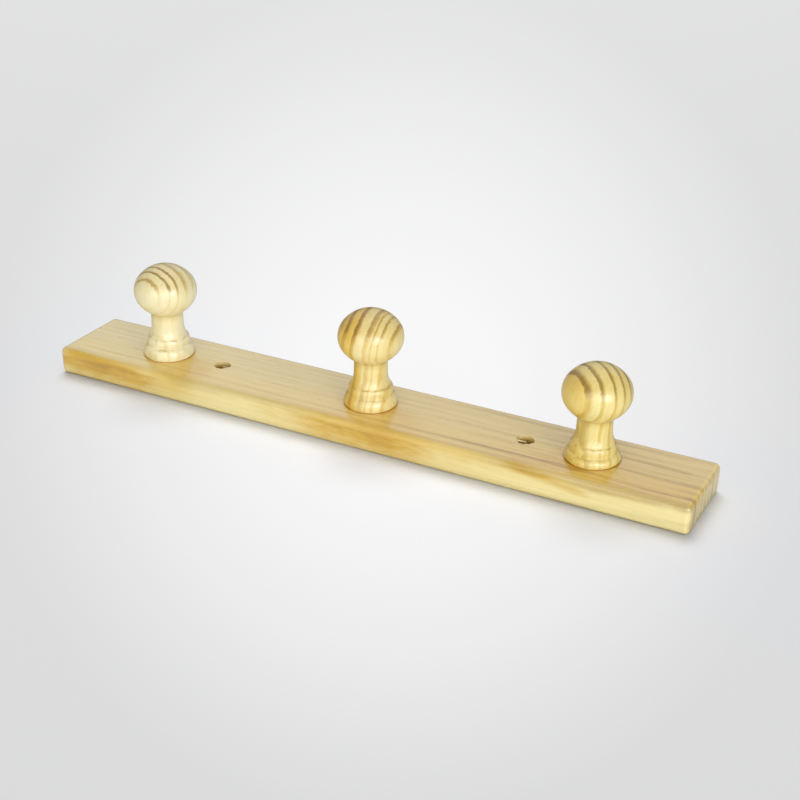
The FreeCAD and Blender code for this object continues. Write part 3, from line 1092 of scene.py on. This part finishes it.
# Painted pool of light on the table: its tone by the distance from the pool's middle, as shares of the
# pool's reach
TABLE_TONES = (
    (0.0, 0.91), (0.14, 0.91), (0.25, 0.868), (0.36, 0.823), (0.47, 0.762), (0.585, 0.708), (1.0, 0.70))
POOL_SCALE = 2.0
POOL_NEAREST = 0.2
TABLE_GLOW = 0.12
MIRRORED_TABLE_DIMMING = -0.3
TABLE_TINT = (0.996, 0.999, 1.007)
# Beside the rack the table is cooler, against the warm light that the pine throws on it
BESIDE_TINT = (0.99, 0.999, 1.025)
BESIDE_REACH = 110.0 * MM

# The room as diffuse surfaces, gloss and the camera meet it
ROOM_LIGHT = 0.42
BACKDROP_LIGHT = 0.76
BACKDROP_SIDE = (-0.46, 0.89, 0.0)
MIRRORED_SIDES = (0.35, 0.8, 0.3, 1.0)
MIRRORED_HEIGHTS = ((0.0, 0.12), (0.2, 0.16), (0.36, 1.0), (0.58, 1.0), (0.74, 0.55), (1.0, 0.3))

# Softboxes: place, aim, width, height and power, and whether one lights the table or all but the table
SOFTBOXES = {
    "front_softbox": ((0.5, -1.3, 0.52), (0, 0, 0.04), 2.4, 1.05, 15.4, "EXCLUDE"),
    "side_softbox": ((1.69, -1.07, 0.62), (0, 0, 0.04), 0.64, 0.9, 12.5, "EXCLUDE"),
    "top_softbox": ((-0.2, 0.25, 1.5), (0, 0, 0), 1.4, 1.4, 3.8, "EXCLUDE"),
    "table_softbox": ((-2.4, 4.0, 10.0), (0, 0, 0), 6.8, 6.8, 725.0, "INCLUDE"),
}


def set_camera():
    data = bpy.data.cameras.new("view")
    data.sensor_width = SENSOR_WIDTH
    data.lens = FOCAL_PIXELS / FRAME_PIXELS * SENSOR_WIDTH
    data.clip_start, data.clip_end = NEAR_CLIP, FAR_CLIP
    camera = bpy.data.objects.new("view", data)
    bpy.context.scene.collection.objects.link(camera)
    back = Vector((
        math.sin(VIEW_AZIMUTH) * math.cos(VIEW_ELEVATION),
        -math.cos(VIEW_AZIMUTH) * math.cos(VIEW_ELEVATION),
        math.sin(VIEW_ELEVATION)))
    camera.rotation_mode = "QUATERNION"
    camera.rotation_quaternion = (-back).to_track_quat("-Z", "Y") @ Quaternion((0, 0, 1), VIEW_ROLL)
    camera.location = VIEW_TARGET + back * VIEW_DISTANCE
    bpy.context.scene.camera = camera


def painted_light_pool(tree, where):
    """Painted pool of light on the table: brightest round the rack, drawn out away from the eye."""
    pool = place_node(
        tree, "ShaderNodeMapping",
        {"Vector": where, "Location": VIEW_TARGET, "Rotation": (0, 0, VIEW_AZIMUTH)},
        vector_type="TEXTURE").outputs[0]
    x, y, _ = split_axes(tree, pool)
    away = work_out(tree, "MULTIPLY_ADD", y, math.cos(VIEW_ELEVATION), VIEW_DISTANCE)
    away = work_out(tree, "MAXIMUM", away, POOL_NEAREST)
    across = work_out(tree, "DIVIDE", x, away)
    along = work_out(tree, "DIVIDE", multiply(tree, y, math.sin(VIEW_ELEVATION)), away)
    distance = work_out(tree, "SQRT", work_out(
        tree, "ADD", multiply(tree, across, across), multiply(tree, along, along)))
    return fill_ramp(tree, work_out(tree, "MULTIPLY", distance, POOL_SCALE, clamp=True), TABLE_TONES)


def beside_rack(tree, where):
    """Share of the table that lies close to the board."""
    gaps = [
        work_out(tree, "SUBTRACT", work_out(tree, "ABSOLUTE", place), edge)
        for place, edge in zip(split_axes(tree, where), BOARD_HIGH.xy)]
    return fade(tree, work_out(tree, "MAXIMUM", *gaps), 0.0, BESIDE_REACH)


def table_material():
    """Pale matt table with a painted pool of light, a faint glow of its own for the camera, and dimmer
    where gloss mirrors it.
    """
    material, tree = start_material("pale_table")
    where = object_place(tree)
    # Painted pool of light on the table
    tone = painted_light_pool(tree, where)
    seen = place_node(tree, "ShaderNodeLightPath").outputs
    dimming = work_out(tree, "MULTIPLY_ADD", seen["Is Glossy Ray"], MIRRORED_TABLE_DIMMING, 1.0)
    colour = tint(tree, 1.0, multiply(tree, tone, dimming), TABLE_TINT)
    colour = tint(tree, beside_rack(tree, where), colour, BESIDE_TINT)
    plain = place_node(tree, "ShaderNodeBsdfDiffuse", {"Color": colour})
    strength = multiply(tree, seen["Is Camera Ray"], TABLE_GLOW)
    glow = place_node(tree, "ShaderNodeEmission", {"Color": tone, "Strength": strength})
    show(tree, place_node(tree, "ShaderNodeAddShader", {0: plain.outputs[0], 1: glow.outputs[0]}))
    return material


def lay_table():
    deselect_all()
    bpy.ops.mesh.primitive_plane_add(size=TABLE_SIZE, location=(0, 0, 0))
    table = bpy.context.object
    table.name = "table"
    table.data.materials.append(table_material())
    return table


def hang_softbox(name, table, place, aim, width, height, power, link_table):
    """Softbox aimed at a point, which lights either the table alone or everything but the table."""
    data = bpy.data.lights.new(name, "AREA")
    data.shape = "RECTANGLE"
    data.size, data.size_y = width, height
    data.energy = power
    lamp = bpy.data.objects.new(name, data)
    bpy.context.scene.collection.objects.link(lamp)
    lamp.location = place
    lamp.rotation_mode = "QUATERNION"
    lamp.rotation_quaternion = (Vector(aim) - Vector(place)).to_track_quat("-Z", "Y")
    flag = bpy.data.collections.new(name + "_flag")
    flag.objects.link(table)
    flag.collection_objects[0].light_linking.link_state = link_table
    lamp.light_linking.receiver_collection = flag


def mirrored_room(tree):
    """What the lacquer mirrors: a pale backdrop behind the rack, and a dimmer room above and in front."""
    where = place_node(tree, "ShaderNodeTexCoord").outputs["Generated"]
    facing = {0: where, 1: BACKDROP_SIDE}
    behind = place_node(tree, "ShaderNodeVectorMath", facing, operation="DOT_PRODUCT").outputs["Value"]
    heights = fill_ramp(tree, split_axes(tree, where)[2], MIRRORED_HEIGHTS)
    return multiply(tree, heights, spread(tree, behind, *MIRRORED_SIDES))


def light_room(table):
    world = bpy.data.worlds.new("studio")
    bpy.context.scene.world = world
    world.use_nodes = True
    tree = world.node_tree
    tree.nodes.clear()
    seen = place_node(tree, "ShaderNodeLightPath").outputs
    room, mirrored, backdrop = (
        place_node(tree, "ShaderNodeBackground", {"Color": colour, "Strength": strength}).outputs[0]
        for colour, strength in (
            ((1, 1, 1, 1), ROOM_LIGHT), (mirrored_room(tree), 1.0), ((1, 1, 1, 1), BACKDROP_LIGHT)))
    mix = room
    for ray, other in (("Is Glossy Ray", mirrored), ("Is Camera Ray", backdrop)):
        mix = place_node(tree, "ShaderNodeMixShader", {0: seen[ray], 1: mix, 2: other}).outputs[0]
    place_node(tree, "ShaderNodeOutputWorld", {"Surface": mix})
    for name, setting in SOFTBOXES.items():
        hang_softbox(name, table, *setting)


def main():
    bpy.context.scene.view_settings.view_transform = "Standard"
    set_camera()
    light_room(lay_table())
    board = shape_board()
    smooth(board, BOARD_SMOOTH_ANGLE)
    apply_modifier(board, "WEIGHTED_NORMAL", keep_sharp=True)
    settle(board, "backboard", board_pine())
    for name, figure in PEG_FIGURES.items():
        peg = shape_peg(name)
        smooth(peg, PEG_SMOOTH_ANGLE)
        settle(peg, name, peg_pine(name, **figure))
    steel = screw_steel()
    for name in PEG_HEIGHTS:
        screw = shape_screw(name + "_screw")
        smooth(screw, SCREW_SMOOTH_ANGLE)
        settle(screw, name + "_screw", steel)


main()
